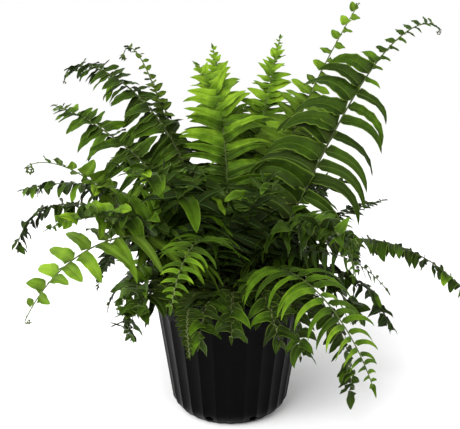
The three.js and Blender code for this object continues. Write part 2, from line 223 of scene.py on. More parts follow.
def unit(vectors):
    return vectors / np.maximum(np.linalg.norm(vectors, axis=-1, keepdims=True), 1e-9)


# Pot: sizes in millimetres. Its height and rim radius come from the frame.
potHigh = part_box("pot")[1]
pot = {
    "height": potHigh.z / mm,
    "rimRadius": potHigh.x / mm,
    "lipHeight": 11,
    "lipOverhang": 3.5,
    "wallThickness": 1.8,
    "wallTop": 172,  # the fluted wall meets the smooth band here
    "wallTopRadius": 119,
    "wallFootRadius": 96,
    "bevelHeight": 20,
    "baseRadius": 81,
    "baseThickness": 3,
    "baseRecess": 1.5,
    "padRadius": 24,
    "ringWidth": 16,
    "flutes": 28,
    "fluteDepth": 2.2,
    "fluteTop": 176,
    "archDrop": 9,  # the flutes end in round arches this much lower at the ridges
    "fluteRunOut": 5,
    "columnsPerFlute": 12,
    "drainHoles": 8,
    "drainHoleRadius": 6.5,
    "drainHoleHeight": 11,
    "firstDrainHole": 24,  # degrees
    "footRounding": 1.2,
    "footSpread": 0.4,  # the bevel starts this far outside the foot
    "bevelBulge": 2.2,
    "rollRadius": 2.4,  # underside of the lip
    "rollLift": 2.6,
    "lipRounding": 2.0,
}


def wallRadius(z):
    share = (z - pot["bevelHeight"]) / (pot["wallTop"] - pot["bevelHeight"])
    return pot["wallFootRadius"] + (pot["wallTopRadius"] - pot["wallFootRadius"]) * share


def innerRadius(z):
    return wallRadius(z) - pot["fluteDepth"] - pot["wallThickness"]


# How deep the fluting is at a height and a place across a flute, from 0 at a ridge to 1 at the next
def fluting(z, across):
    hollow = 1 - (2 * across - 1) ** 2
    archTop = pot["fluteTop"] - pot["archDrop"] * (2 * across - 1) ** 2
    return hollow * smooth((archTop - z) / pot["fluteRunOut"])


def potRings():
    top, rim, lip = pot["height"], pot["rimRadius"], pot["lipHeight"]
    base, foot, bevel = pot["baseRadius"], pot["wallFootRadius"], pot["bevelHeight"]
    ring, pad, recess = base - pot["ringWidth"], pot["padRadius"], pot["baseRecess"]
    edge, spread = pot["footRounding"], pot["footSpread"]
    # each ring is radius, height and share of the fluting
    rings = [(0.01, 0, 0), (pad, 0, 0), (pad + edge, recess, 0), ((pad + ring) / 2, recess, 0)]
    rings += [(ring - edge, recess, 0), (ring, 0, 0), ((ring + base) / 2, 0, 0)]
    rings += [(base - 2.5, 0, 0.3), (base - 1, 0.3, 0.45), (base + spread, edge, 0.6)]
    for share in (0.15, 0.3, 0.5, 0.7, 0.85, 0.95):
        bulge = pot["bevelBulge"] * math.sin(math.pi * share)
        radius = base + spread + (foot - base - spread) * share + bulge
        rings.append((radius, edge + (bevel - edge) * share, 1))
    rings += [(wallRadius(z), z, 1) for z in np.linspace(bevel, 160, 14)]
    rings += [(wallRadius(z), z, 1) for z in np.linspace(162, pot["fluteTop"] + 1, 13)]
    bandTop, bandRadius = top - lip, rim - pot["lipOverhang"]
    lowBand = pot["fluteTop"] + 2
    for share in (0, 0.35, 0.7, 1):
        z = lowBand + (bandTop - lowBand) * share
        rings.append((wallRadius(lowBand) + (bandRadius - wallRadius(lowBand)) * share, z, 0))
    # the rolled lip, rounded under and over its outer edge
    under = (pot["rollRadius"], bandTop + pot["rollLift"], (-80, -60, -35, -10, 0))
    over = (pot["lipRounding"], top - pot["lipRounding"], (5, 25, 45, 65, 85))
    for radius, middle, angles in (under, over):
        for a in np.radians(angles):
            rings.append((rim - radius + radius * math.cos(a), middle + radius * math.sin(a), 0))
    inside = innerRadius(top) + 1
    rings += [(inside + 1.2, top, 0), (inside + 0.3, top - 0.5, 0), (inside, top - 1.6, 0)]
    rings += [(innerRadius(z), z, 0) for z in np.linspace(pot["fluteTop"], bevel, 8)]
    rings += [(base - 4, pot["baseThickness"], 0), (0.01, pot["baseThickness"], 0)]
    return rings


def buildPot():
    perFlute = pot["columnsPerFlute"]
    columns = pot["flutes"] * perFlute
    rings, points, places = potRings(), [], []
    for radius, z, fluted in rings:
        for column in range(columns):
            across = (column % perFlute) / perFlute
            angle = column / columns * fullTurn
            r = radius - pot["fluteDepth"] * fluted * fluting(z, across)
            x, y = around(r, angle)
            points.append((x * mm, y * mm, z * mm))
            places.append((column / columns, z * mm))
    shape = Shape()
    shape.add(points, ringFaces(len(rings), columns), 0, places)
    closeMiddles(shape, len(rings), columns, True)
    return shape.build("pot_fine", [potPlastic()], 28)


# Round holes through the bevel, pointing out and down at 45 degrees
def cutDrainHoles(piece):
    cutter = Shape()
    sides, reach, radius = 24, 12, pot["drainHoleRadius"]  # reach is half the cutter's length
    for hole in range(pot["drainHoles"]):
        angle = math.radians(pot["firstDrainHole"] + hole * 360 / pot["drainHoles"])
        outward = Vector((math.cos(angle), math.sin(angle), -1)).normalized()
        sideways = Vector((-math.sin(angle), math.cos(angle), 0))
        upward = outward.cross(sideways)
        middleRadius = (pot["baseRadius"] + pot["wallFootRadius"]) / 2 + 1
        middle = Vector((*around(middleRadius, angle), pot["drainHoleHeight"]))
        points = []
        for end in (-reach, reach):
            for side in range(sides):
                turn = side / sides * fullTurn
                points.append((middle + outward * end + sideways * radius * math.cos(turn)
                               + upward * radius * math.sin(turn)) * mm)
        faces = [(s, (s + 1) % sides, sides + (s + 1) % sides, sides + s) for s in range(sides)]
        for i in range(sides // 2 - 1):
            faces.append((i + 1, i, sides - 1 - i, sides - 2 - i))
            faces.append((sides + i, sides + i + 1, 2 * sides - 2 - i, 2 * sides - 1 - i))
        cutter.add(points, faces, 0)
    tool = cutter.build("drain_hole_cutter", [], 30)
    cut = piece.modifiers.new("drain holes", "BOOLEAN")
    cut.operation, cut.object, cut.solver = "DIFFERENCE", tool, "EXACT"
    graph = bpy.context.evaluated_depsgraph_get()
    piece.data = bpy.data.meshes.new_from_object(piece.evaluated_get(graph))
    piece.modifiers.clear()
    bpy.data.objects.remove(tool)


# Moulded black HDPE with a satin skin: a soft sheen, faint flow marks up the wall and a little dust
def potPlastic():
    material, tree = newMaterial("satin black HDPE")
    stretch = patterned(tree, "Mapping", {"Scale": (160, 160, 12)})
    flow = addNode(tree, "TexNoise", {"Scale": 1, "Detail": 3}, {"Vector": (stretch, 0)})
    dust = patterned(tree, "TexNoise", {"Scale": 45, "Detail": 6, "Roughness": 0.7})
    colour = coloured(tree, (dust, 0), (0.35, "#010101"), (0.75, "#040304"))
    gloss = mapped(tree, (flow, 0), 0.3, 0.7, 0.3, 0.44)
    skin = patterned(tree, "TexNoise", {"Scale": 900, "Detail": 2})
    bump = bumped(tree, (skin, 0), 0.12, 0.0004)
    shader = addNode(tree, "BsdfPrincipled", {"IOR": 1.5, "Specular IOR Level": 0.035},
                     {"Base Color": (colour, 0), "Roughness": (gloss, 0), "Normal": (bump, 0)})
    return endMaterial(material, shader)


potPiece = buildPot()
cutDrainHoles(potPiece)
standFor(potPiece, "pot")
print("pot done", len(potPiece.data.polygons))


# Potting mix: millimetres
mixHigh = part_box("potting_mix")[1]
mix = {
    "top": mixHigh.z / mm,
    "rings": 46,
    "columns": 150,
    "lumps": 2.4,  # height of the uneven top
    "wallGap": 1,
    "settle": 2.5,  # how much lower the mix lies at the wall, over the next value
    "settleOver": 8,
    "barkChips": (230, 3.5, 9, 0.4),  # how many, smallest, largest, thickness as a share of the length
    "perlite": (110, 1.6, 3.4, 0.9),
    "seed": 11,
}


# A small stone-like lump: a squashed, knobbly cube
def addLump(shape, rng, middle, size, slot):
    corners = np.array([(x, y, z) for x in (-1, 1) for y in (-1, 1) for z in (-1, 1)], float)
    corners = unit(corners) * rng.uniform(0.7, 1.15, (8, 1)) * np.array(size) / 2
    turn, tip = rng.uniform(0, fullTurn), rng.uniform(-0.5, 0.5)
    axes = np.tile(unit(np.array([math.cos(turn), math.sin(turn), 0.3])), (8, 1))
    corners = rotated(corners, axes, np.full(8, tip))
    corners = rotated(corners, np.tile([0.0, 0.0, 1.0], (8, 1)), np.full(8, turn))
    faces = [(0, 1, 3, 2), (4, 6, 7, 5), (0, 4, 5, 1), (2, 3, 7, 6), (0, 2, 6, 4), (1, 5, 7, 3)]
    shape.add(corners + middle, faces, slot, tones=rng.uniform(0, 1))


def mixTopAt(x, y):
    lumps = noise.noise(Vector((x * 60, y * 60, 3))) + 0.6 * noise.noise(Vector((x * 170, y * 170, 8)))
    return (mix["top"] - mix["lumps"] + mix["lumps"] * keep(lumps, -1, 1)) * mm


def buildMix():
    rng = np.random.default_rng(mix["seed"])
    columns, gap = mix["columns"], mix["wallGap"]
    edge = innerRadius(mix["top"]) - gap
    points = []
    for ring in range(mix["rings"] + 1):
        radius = (0.01 + edge * ring / mix["rings"]) * mm
        for column in range(columns):
            x, y = around(radius, column / columns * fullTurn)
            nearWall = smooth((radius / mm - edge + mix["settleOver"]) / mix["settleOver"])
            settle = mix["settle"] * mm * nearWall
            points.append((x, y, mixTopAt(x, y) - settle))
    floor = pot["baseThickness"] + 0.4
    outline = [(innerRadius(z) - gap, z) for z in (100, 22)] + [(pot["baseRadius"] - 7, floor), (0.01, floor)]
    for radius, z in outline:
        points += levelRing(radius, z, columns)
    rings = mix["rings"] + 1 + len(outline)
    shape = Shape()
    shape.add(points, [face[::-1] for face in ringFaces(rings, columns)], 0)
    closeMiddles(shape, rings, columns, False)
    for slot, (count, small, large, flat) in ((1, mix["barkChips"]), (2, mix["perlite"])):
        for _ in range(count):
            angle, reach = rng.uniform(0, fullTurn), math.sqrt(rng.uniform(0.3, 1)) * (edge - 6) * mm
            x, y = around(reach, angle)
            size = rng.uniform(small, large) * mm
            middle = (x, y, mixTopAt(x, y) + size * flat * 0.1)
            addLump(shape, rng, middle, (size, size * rng.uniform(0.5, 0.9), size * flat), slot)
    return shape.build("potting_mix_fine", [peatMix(), barkChip(), perlite()], 35)


# Damp peat and coir: matt dark brown crumbs about 1.5 mm across
def peatMix():
    material, tree = newMaterial("damp peat mix")
    crumbs = patterned(tree, "TexVoronoi", {"Scale": 650})
    damp = patterned(tree, "TexNoise", {"Scale": 70, "Detail": 5})
    both = worked(tree, "MULTIPLY", (crumbs, "Color"), (damp, 0))
    colour = coloured(tree, (both, 0), (0.1, "#17110c"), (0.3, "#2e2319"), (0.6, "#4c3b2a"))
    bump = bumped(tree, (crumbs, "Distance"), 0.9, 0.0012)
    return endPlain(material, {"Roughness": 0.95, "Specular IOR Level": 0.25}, colour, bump)


# Composted pine bark: dull red-brown chips with a layered grain about 1.2 mm apart
def barkChip():
    material, tree = newMaterial("composted pine bark")
    grain = patterned(tree, "TexWave", {"Scale": 260, "Distortion": 6, "Detail": 3})
    tone = toneOf(tree)
    both = worked(tree, "MULTIPLY", (grain, "Fac"), (tone, "Fac"))
    colour = coloured(tree, (both, 0), (0.0, "#2b1d14"), (0.9, "#6b4a30"))
    bump = bumped(tree, (grain, "Fac"), 0.6, 0.0005)
    return endPlain(material, {"Roughness": 0.88}, colour, bump)


# Expanded perlite: chalky off-white grains with fine pores
def perlite():
    material, tree = newMaterial("expanded perlite")
    pores = patterned(tree, "TexNoise", {"Scale": 1800, "Detail": 3})
    colour = coloured(tree, (pores, 0), (0.3, "#9c968a"), (0.6, "#dedad0"))
    bump = bumped(tree, (pores, 0), 0.5, 0.0003)
    return endPlain(material, {"Roughness": 0.9}, colour, bump)


mixPiece = buildMix()
standFor(mixPiece, "potting_mix")
print("potting mix done", len(mixPiece.data.polygons))


# Rootstock: the knobbly crown that every frond grows from, in millimetres
crownLow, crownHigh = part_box("rootstock")
crown = {
    "radius": crownHigh.x / mm,
    "foot": crownLow.z / mm,
    "height": (crownHigh.z - crownLow.z) / mm,
    "rings": 30,
    "columns": 96,
    "knobs": 3.0,
    "knobSizes": (9, 4),
    "oldStubs": 34,
    "stubLengths": (9, 24),
    "stubRadii": (1.5, 2.2),
    "stubTip": 1.3,
    "scales": 420,
    "scaleLengths": (5, 11),
    "scaleRadii": (0.55, 0.08),
    "splay": 16,  # disorder in the directions of stubs and scales
    "seed": 23,
}


def crownTopAt(radius):
    return crown["foot"] + crown["height"] * math.sqrt(1 - min(1, radius / crown["radius"]) ** 2)


# A tapering tube along a line of points, closed at both ends
def addTube(shape, middles, sides, tops, radii, slot, tones, corners=8):
    count = len(middles)
    angles = np.arange(corners) / corners * fullTurn
    cosine, sine = np.cos(angles)[None, :, None], np.sin(angles)[None, :, None]
    ring = cosine * sides[:, None, :] + sine * tops[:, None, :]
    points = middles[:, None, :] + ring * np.asarray(radii)[:, None, None]
    run = np.concatenate([[0], np.cumsum(np.linalg.norm(np.diff(middles, axis=0), axis=1))])
    places = np.stack([np.broadcast_to(run[:, None] / 0.1, (count, corners)),
                       np.broadcast_to(angles / fullTurn, (count, corners))], -1)
    faces = ringFaces(count, corners)
    last = (count - 1) * corners
    for i in range(corners // 2 - 1):
        faces.append((i, i + 1, corners - 2 - i, corners - 1 - i)[::-1])
        faces.append((last + i, last + i + 1, last + corners - 2 - i, last + corners - 1 - i))
    shape.add(points, faces, slot, places, np.repeat(np.broadcast_to(tones, count), corners))


# A straight tapering spike or stub from a point
def addSpike(shape, root, direction, length, radii, slot, tone, corners=6):
    direction = unit(np.asarray(direction, float))
    side = unit(np.cross(direction, [0.31, 0.2, 0.93]))
    shares = np.linspace(0, 1, 4)[:, None]
    middles = np.asarray(root) + direction * shares * length
    sides = np.tile(side, (4, 1))
    tops = np.tile(np.cross(direction, side), (4, 1))
    taper = radii[0] + (radii[1] - radii[0]) * shares[:, 0] ** 1.5
    addTube(shape, middles, sides, tops, taper, slot, tone, corners)


def buildRootstock():
    rng = np.random.default_rng(crown["seed"])
    shape, points, columns = Shape(), [], crown["columns"]
    large, small = crown["knobSizes"]
    for ring in range(crown["rings"] + 1):
        lift = math.radians(90 * (1 - ring / crown["rings"]))
        for column in range(columns):
            angle = column / columns * fullTurn
            radius = (crown["radius"] - 2) * math.cos(lift) + 0.01
            x, y = around(radius, angle)
            z = crown["foot"] - 2 + (crown["height"] - 1) * math.sin(lift)
            knob = noise.noise(Vector((x / large, y / large, 5)))
            knob = knob + 0.5 * noise.noise(Vector((x / small, y / small, 1)))
            out = Vector((x, y, z - crown["foot"] + 12)).normalized() * keep(knob, -1, 0.6) * crown["knobs"]
            points.append(((x + out.x) * mm, (y + out.y) * mm, (z + out.z) * mm))
    for radius in (crown["radius"] - 6, 0.01):
        points += levelRing(radius, crown["foot"] - 4, columns)
    rings = crown["rings"] + 3
    shape.add(points, [face[::-1] for face in ringFaces(rings, columns)], 0)
    closeMiddles(shape, rings, columns, False)
    for kind, count in (("stub", crown["oldStubs"]), ("scale", crown["scales"])):
        for _ in range(count):
            angle, reach = rng.uniform(0, fullTurn), math.sqrt(rng.uniform(0, 0.93)) * crown["radius"]
            x, y = around(reach, angle)
            root = np.array([x, y, crownTopAt(reach) - 3]) * mm
            direction = np.array([x, y, 40]) + rng.normal(0, crown["splay"], 3)
            if kind == "stub":
                length = rng.uniform(*crown["stubLengths"]) * mm
                radii = (rng.uniform(*crown["stubRadii"]) * mm, crown["stubTip"] * mm)
                addSpike(shape, root, direction, length, radii, 0, rng.uniform(0.5, 1))
            else:
                length = rng.uniform(*crown["scaleLengths"]) * mm
                radii = [radius * mm for radius in crown["scaleRadii"]]
                addSpike(shape, root, direction, length, radii, 1, rng.uniform(0, 1), 4)
    return shape.build("rootstock_fine", [rootBark(), rustScale()], 50)


# Corky fern crown: dark brown, matt, ridged about every 2 mm
def rootBark():
    material, tree = newMaterial("corky fern crown")
    ridges = patterned(tree, "TexNoise", {"Scale": 480, "Detail": 5, "Roughness": 0.65})
    colour = coloured(tree, (ridges, 0), (0.3, "#1d140d"), (0.5, "#3b2a1b"), (0.75, "#6a4e33"))
    bump = bumped(tree, (ridges, 0), 0.8, 0.001)
    return endPlain(material, {"Roughness": 0.85}, colour, bump)


# Papery rust-brown scales: opaque, dry and low in sheen
def rustScale():
    material, tree = newMaterial("papery fern scale")
    tone = toneOf(tree)
    colour = coloured(tree, (tone, "Fac"), (0.0, "#4a2f1a"), (1.0, "#9a6b3e"))
    shader = addNode(tree, "BsdfPrincipled", {"Roughness": 0.6}, {"Base Color": (colour, 0)})
    return endMaterial(material, shader)


rootPiece = buildRootstock()
standFor(rootPiece, "rootstock")
print("rootstock done", len(rootPiece.data.polygons))


# Fronds, in groups whose rows are numbered from 1. Each row: foot x and y, heading, rise at the foot,
# droop by the tip, bend (how late it droops), sway, roll about its own stalk, length, longest leaflet,
# youth from 0 to 1, tone from dark 0 to yellow-green 1, habit. Millimetres and degrees; the places and
# lengths are the frame's own.
frondFields = ("footX", "footY", "heading", "rise", "droop", "bend", "sway", "roll",
               "length", "leaflet", "youth", "tone", "habit")
fronds = {
    "frond_upright": [
        (-2, 4, 95, 85, 50, 2.5, 40, 0, 375, 74, 0.1, 0.72, "shingled"),
        (-8, 32, 90, 78, 20, 1.5, 22, 0, 402, 60, 0.2, 0.66, "shingled"),
        (18, 36, 60, 85, 33, 0.8, 12, 15, 438, 50, 0.2, 0.76, "shingled"),
        (32, 18, 38, 81, 31, 0.6, 0, 40, 520, 62, 0.8, 0.62, "sparse"),
    ],
    "frond_left": [
        (-24, 24, 140, 66, 100, 5, -30, -30, 525, 50, 0.9, 0.4, "unfurling"),
        (-34, 6, 160, 87, 114, 1.4, -45, -40, 600, 58, 0.4, 0.42, "curling"),
        (-44, -8, 178, 88, 84, 0.9, -52, -50, 445, 62, 0.4, 0.52, "lopsided"),
        (-50, -24, 195, 50, 75, 5, -25, -25, 345, 50, 0.9, 0.62, "leafy"),
        (-62, 8, 175, 50, 135, 2.3, 10, -15, 375, 45, 0.5, 0.2, "trailing"),
        (-50, 32, 155, 75, 92, 0.7, 10, 0, 415, 60, 0.1, 0.4, "hanging"),
        (-42, -42, 220, 88, 148, 0.8, 0, -15, 380, 110, 0.9, 0.6, "broad"),
        (-64, 18, 150, 60, 170, 0.7, -35, 0, 255, 28, 0.1, 0.3, "small"),
        (-34, -28, 215, 70, 85, 1, 0, 0, 310, 62, 0.1, 0.6, "tousled"),
        (-58, -22, 208, 50, 110, 1, 0, -10, 150, 55, 0.1, 0.5, "leafy"),
    ],
    "frond_front": [
        (-14, -52, 255, 86, 153, 1.1, -5, 0, 292, 58, 0.1, 0.66, "arching"),
        (-34, -58, 250, 65, 130, 0.7, 40, 0, 178, 26, 0.1, 0.1, "feathery"),
        (40, -56, -60, 86, 175, 0.7, -10, 0, 190, 42, 0.1, 0.2, "low"),
        (6, -62, 268, 74, 140, 0.75, 0, 0, 150, 54, 0.1, 0.25, "low"),
        (-22, -36, 240, 80, 80, 1.2, 0, 0, 330, 66, 0.2, 0.56, "tousled"),
    ],
    "frond_right": [
        (46, -4, 8, 64, 92, 4.4, 42, 60, 596, 105, 0.7, 0.46, "tall"),
        (30, -46, -60, 82, 145, 0.6, 12, 0, 335, 80, 0.2, 0.68, "arching"),
        (62, -10, -2, 85, 130, 0.6, -18, 0, 358, 44, 0.3, 0.34, "hanging"),
        (48, -26, -30, 88, 174, 1.4, -40, 0, 293, 55, 0.2, 0.5, "arching"),
        (66, 12, 10, 68, 142, 0.6, -12, 0, 275, 45, 0.1, 0.22, "trailing"),
        (54, 32, 35, 45, 40, 0.7, -5, 0, 310, 40, 0.2, 0.42, "grown"),
        (56, -42, -38, 75, 172, 0.6, -20, 0, 258, 40, 0.1, 0.24, "spatulate"),
        (38, 4, 40, 72, 75, 1, -10, 0, 280, 80, 0.1, 0.4, "tousled"),
        (30, -30, -14, 74, 125, 0.8, 0, 0, 255, 60, 0.1, 0.5, "arching"),
    ],
    "frond_back": [
        (-30, 44, 125, 72, 95, 1, 10, 0, 430, 62, 0.1, 0.3, "grown"),
        (-12, 56, 105, 74, 120, 1, 5, 0, 440, 62, 0.2, 0.3, "grown"),
        (8, 58, 82, 76, 110, 1.2, -5, 0, 470, 60, 0.3, 0.3, "grown"),
        (32, 50, 60, 74, 125, 1, 0, 0, 420, 62, 0.2, 0.3, "grown"),
        (50, 46, 45, 64, 135, 0.9, -10, 0, 350, 52, 0.1, 0.3, "grown"),
        (-50, 46, 138, 62, 135, 0.8, 10, 0, 350, 52, 0.2, 0.3, "grown"),
        (-6, 68, 95, 58, 150, 0.8, 0, 0, 300, 46, 0.1, 0.3, "grown"),
        (24, 64, 70, 62, 150, 0.9, 0, 0, 330, 50, 0.1, 0.3, "grown"),
        (-30, 60, 115, 55, 145, 0.8, 10, 0, 330, 48, 0.1, 0.3, "grown"),
    ],
    "frond_inner": [
        (-12, -18, 250, 84, 70, 1.5, 0, 0, 260, 55, 0.1, 0.4, "tousled"),
        (14, -22, -75, 82, 80, 1.3, 0, 0, 270, 60, 0.1, 0.4, "tousled"),
        (-20, -6, 205, 78, 60, 1.2, 0, 0, 270, 58, 0.1, 0.45, "tousled"),
        (20, -24, -40, 74, 95, 1, 0, 0, 255, 66, 0.1, 0.4, "tousled"),
    ],
    "frond_low": [
        (25, -65, -72, 76, 150, 0.8, 5, 0, 165, 46, 0.1, 0.22, "low"),
        (-14, -69, 258, 75, 145, 0.8, -5, 0, 160, 50, 0.1, 0.25, "low"),
        (-52, -48, 222, 74, 145, 0.8, 10, 0, 175, 44, 0.1, 0.26, "bushy"),
        (-69, -7, 186, 75, 150, 0.8, 10, 0, 170, 42, 0.1, 0.2, "feathery"),
        (65, -26, -20, 76, 150, 0.8, -8, 0, 180, 44, 0.1, 0.24, "bushy"),
        (66, 25, 24, 75, 150, 0.8, 6, 0, 175, 42, 0.1, 0.3, "low"),
        (38, 59, 56, 74, 145, 0.8, -6, 0, 185, 46, 0.1, 0.3, "low"),
        (9, 70, 84, 76, 150, 0.8, 6, 0, 170, 44, 0.1, 0.3, "low"),
        (-19, 67, 107, 75, 145, 0.8, -8, 0, 180, 46, 0.1, 0.3, "low"),
        (-62, 33, 151, 75, 150, 0.8, 6, 0, 175, 44, 0.1, 0.3, "low"),
    ],
    "crozier": [
        (4, -10, 80, 88, 400, 6, 0, 0, 150, 0, 1, 0.55, "shoot"),
        (-18, 10, 190, 84, 420, 6, 0, 0, 120, 0, 1, 0.55, "shoot"),
        (22, 8, -20, 82, 400, 6, 0, 0, 95, 0, 1, 0.55, "shoot"),
    ],
}

# How a kind of frond grows. spacing, width and long are shares of the usual, tipSpacing is millimetres
# between leaflets of one side near the tip, broad scales width to length, blunt goes from a pointed lance
# 0 to a rounded half heart 1, sag is degrees per millimetre of leaflet, tousle is degrees of disorder,
# lift is degrees above the blade, lean is degrees towards the frond's tip, curve is degrees that a
# leaflet bends that way, least is millimetres, tip is how the frond ends, and start, stop and narrowsAt
# are shares of its length. What starts with left scales the left hand's leaflets, leftLater is a share of
# the frond's length, and footShadeAndAge is how much darker its foot is: painted shade for the leaflets
# deep inside the plant, together with the real lighter colour of newer leaflets towards the tip.
usualHabit = {
    "spacing": 0.95, "tipSpacing": 7, "width": 1.5, "broad": 1.0, "blunt": 0.15, "sag": 0.5, "tousle": 9,
    "least": 6.0, "tip": "leaflet", "start": 0.1, "stop": 1.0, "long": 1.0, "narrowsAt": 1.1,
    "leanAtFoot": 6, "leanAtTip": 30, "lift": 8, "curve": 16, "leftWidth": 1.0, "leftLong": 1.0,
    "leftLater": 0.0, "footShadeAndAge": 0.42,
}
habits = {
    "grown": {"least": 10, "long": 1.1},
    "shingled": {
        "tipSpacing": 12, "blunt": 0.12, "tousle": 10, "least": 13, "long": 1.35, "leanAtFoot": 26,
        "leanAtTip": 46, "curve": -4, "footShadeAndAge": 0.95,
    },
    "lopsided": {
        "tipSpacing": 11, "width": 1.7, "blunt": 0.3, "tousle": 12, "sag": 0.6, "least": 9, "curve": 4,
        "leftLong": 1.45,
    },
    "tall": {
        "spacing": 1.3, "tipSpacing": 22, "width": 0.98, "broad": 1.5, "blunt": 0.25, "sag": 0.62,
        "tip": "coil", "start": 0.16, "stop": 0.97, "least": 23, "long": 1.25, "narrowsAt": 0.56,
        "leanAtFoot": 22, "leanAtTip": 34, "curve": -36, "leftWidth": 1.8, "leftLater": 0.07, "lift": 6,
        "footShadeAndAge": 0.6,
    },
    "broad": {
        "spacing": 1.35, "tipSpacing": 24, "width": 1.75, "broad": 0.95, "blunt": 0.7, "sag": 0.45,
        "tip": "coil", "start": 0.12, "stop": 0.97, "least": 20, "leanAtTip": 4, "leanAtFoot": -4,
        "curve": -6, "long": 1.2,
    },
    "sparse": {
        "spacing": 1.0, "tipSpacing": 32, "width": 1.8, "broad": 1.5, "blunt": 0.7, "sag": 0.35,
        "tip": "coil", "start": 0.12, "stop": 0.97, "least": 25, "long": 1.2, "narrowsAt": 0.62,
    },
    "curling": {
        "spacing": 0.85, "tipSpacing": 8, "blunt": 0.4, "sag": 1.0, "tousle": 18, "tip": "coil",
        "start": 0.12, "stop": 0.98, "least": 9, "long": 0.8, "leanAtTip": 10, "lift": -6,
        "leftLong": 1.4,
    },
    "unfurling": {
        "spacing": 0.75, "tipSpacing": 22, "width": 1.7, "blunt": 0.5, "sag": 0.9, "tousle": 26,
        "tip": "ball", "stop": 0.95, "least": 15, "long": 0.7, "narrowsAt": 0.68,
    },
    "leafy": {
        "tipSpacing": 24, "width": 1.8, "broad": 1.2, "blunt": 0.55, "sag": 0.3, "tousle": 24,
        "tip": "ball", "stop": 0.93, "least": 21, "long": 1.75, "narrowsAt": 0.74, "lift": 24,
    },
    "arching": {
        "spacing": 1.02, "tipSpacing": 10, "width": 0.62, "blunt": 0.3, "sag": 0.8, "tousle": 7,
        "least": 13, "curve": 26, "leanAtFoot": -4, "leanAtTip": 6, "long": 1.15,
    },
    "tousled": {
        "spacing": 0.92, "tipSpacing": 9, "width": 1.7, "broad": 1.15, "blunt": 0.4, "sag": 0.55,
        "tousle": 28, "start": 0.04, "least": 14, "long": 1.2,
    },
    "hanging": {
        "spacing": 1.2, "tipSpacing": 14, "width": 1.75, "broad": 1.15, "blunt": 0.4, "sag": 2.0,
        "tousle": 20, "least": 33, "leanAtTip": 6, "lift": -24, "curve": 22,
    },
    "trailing": {
        "tipSpacing": 11, "width": 1.45, "blunt": 0.2, "sag": 1.3, "tousle": 28, "least": 40, "lift": -14,
        "curve": 0,
    },
    "low": {
        "spacing": 1.05, "tipSpacing": 14, "width": 1.4, "broad": 1.1, "blunt": 0.12, "sag": 0.9,
        "tousle": 26, "start": 0.0, "stop": 0.97, "least": 46, "long": 1.2, "lift": -4, "leanAtTip": 44,
    },
    "feathery": {
        "spacing": 0.8, "tipSpacing": 6, "width": 0.95, "sag": 0.4, "tousle": 8, "least": 8, "long": 1.1,
    },
    "small": {
        "spacing": 1.0, "tipSpacing": 11, "width": 1.3, "broad": 1.1, "blunt": 0.45, "sag": 1.2,
        "tousle": 16, "least": 23,
    },
    "spatulate": {
        "spacing": 1.0, "tipSpacing": 12, "width": 1.8, "broad": 1.1, "blunt": 0.6, "sag": 1.1,
        "tousle": 20, "least": 38, "leftLong": 0.5, "lift": -8,
    },
    "bushy": {
        "spacing": 0.9, "tipSpacing": 11, "width": 1.8, "broad": 1.15, "blunt": 0.25, "sag": 0.8,
        "tousle": 30, "start": 0.0, "stop": 0.98, "least": 42, "long": 1.2, "lift": 4,
    },
    "shoot": {"tip": "bare"},
}
coils = {  # radius, turns and longest bud of an unopened tip
    "coil": (3.4, 1.5, 2.6),
    "ball": (6.5, 2.2, 4.6),
}
frondShape = {
    "stalkRadius": 2.1,
    "tipRadius": 0.7,
    "footLift": 0.5,
    "lowestLeaflet": 0.62,  # lowest leaflets as a share of the longest
    "widenOver": 0.45,
    "grownTaper": 2.6,
    "youngTaper": 1.0,
    "taperSoftness": 0.85,
    "pathSteps": 56,
    "rowPlaces": (0, 0.03, 0.08, 0.15, 0.24, 0.34, 0.44, 0.54, 0.64, 0.74, 0.84, 0.93, 1),
    "widthCells": 6,
    "thickness": 0.45,
    "spacingBase": 6.5,  # leaflet spacing is this plus a share of the leaflet's length
    "spacingShare": 0.125,
    "bareFoot": 0.14,  # share of a frond below its full blade
    "narrowing": 0.78,  # how much shorter leaflets get past narrowsAt
    "narrowOver": 0.08,
    "usualLength": 380,  # stalks of fronds this long have the radii above
    "waveLengths": (18, 26),
    "ripple": 0.17,  # waves of the edge, as a share of the half width
    "edgeWander": 0.015,
    "footLobe": 0.32,  # how much wider the foot is on its tipward side
    "footHollow": -0.2,  # and narrower on the other
    "lobePlace": 0.09,
    "leastHalfWidth": 0.2,
    "potClearance": 1.6,
    "potGuard": 9,  # points this far inside the wall are moved to one of its sides
    "tilt": 15,  # degrees that it overlaps its neighbour like a shingle
    "fold": 0.7,
    "seed": 7,
}


# The line of a frond with its directions: along, to its left side, and out of its upper face
def frondPath(frond):
    steps, s = frondShape["pathSteps"], frondShape
    reach = math.hypot(frond["footX"], frond["footY"])
    foot = np.array([frond["footX"], frond["footY"], crownTopAt(reach) + s["footLift"]]) * mm

    def direction(shares):
        rise = np.radians(frond["rise"] - frond["droop"] * shares ** frond["bend"])
        turn = np.radians(frond["heading"] + frond["sway"] * shares ** 2)
        return np.stack([np.cos(rise) * np.cos(turn), np.cos(rise) * np.sin(turn), np.sin(rise)], -1)

    strides = direction((np.arange(steps) + 0.5) / steps) * frond["length"] * mm / steps
    middles = np.concatenate([[foot], foot + np.cumsum(strides, axis=0)])
    alongs = direction(np.arange(steps + 1) / steps)
    heading = math.radians(frond["heading"])
    side = np.array([-math.sin(heading), math.cos(heading), 0])
    sides = []
    for i, along in enumerate(alongs):
        side = unit(side - along * np.dot(side, along))
        if i == 0:
            side = rotated(side, along, np.array(math.radians(frond["roll"])))
        sides.append(side)
    sides = np.array(sides)
    return middles, alongs, sides, np.cross(alongs, sides)


